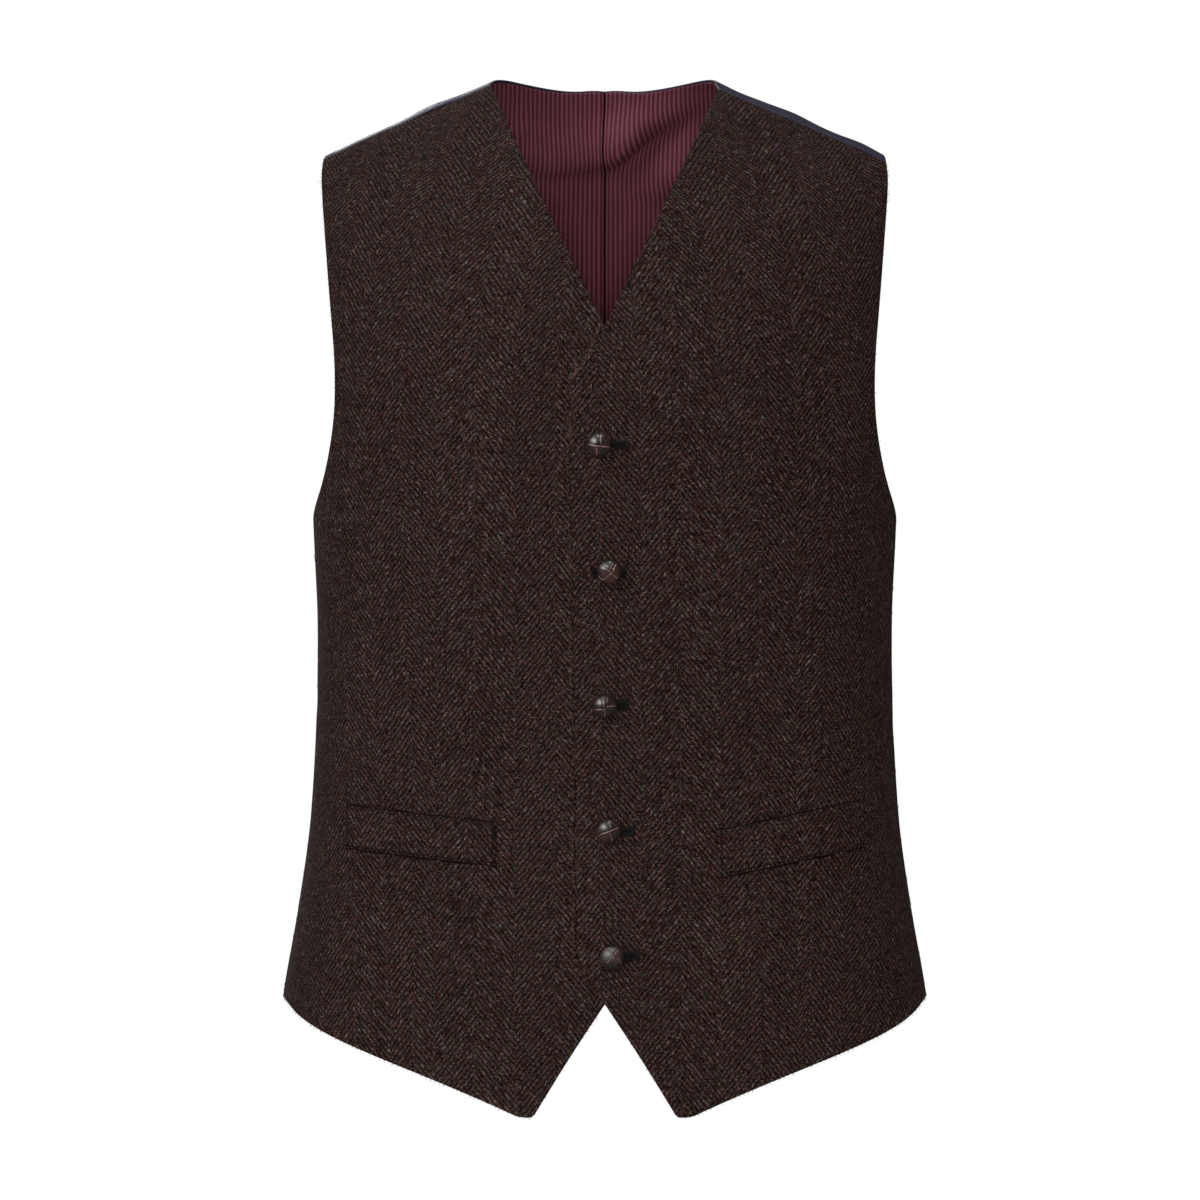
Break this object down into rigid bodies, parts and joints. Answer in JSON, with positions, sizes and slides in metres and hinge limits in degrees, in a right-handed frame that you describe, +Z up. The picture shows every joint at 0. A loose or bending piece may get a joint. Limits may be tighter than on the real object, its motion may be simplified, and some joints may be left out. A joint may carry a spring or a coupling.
{
  "type": "suit waistcoat",
  "caption": "Single-breasted suit waistcoat in herringbone cloth with a V neck, pointed fronts, welt pockets, satin back and striped lining, filled out as worn.",
  "frame": {"origin": "midway between the tops of the two shoulders, on the centre line, where the wearer's shoulders carry the garment", "axes": "+Z up, -Y towards the front with the buttons, +X towards the wearer's left"},
  "size_m": [0.4054, 0.2638, 0.6486],
  "materials": {
    "tweed": "matt brown herringbone wool, slightly fuzzy",
    "satin": "smooth navy satin with a soft sheen",
    "lining": "burgundy satin with fine vertical stripes",
    "leather": "dark brown domed leather with crossing straps"
  },
  "bodies": {
    "root": {"front_left": "tweed", "front_right": "tweed", "back_left": "satin", "back_right": "satin", "lining_left": "lining", "lining_right": "lining", "pocket_welt_left": "tweed", "pocket_welt_right": "tweed", "button_1": "leather", "button_2": "leather", "button_3": "leather", "button_4": "leather", "button_5": "leather"}
  },
  "joints": []
}
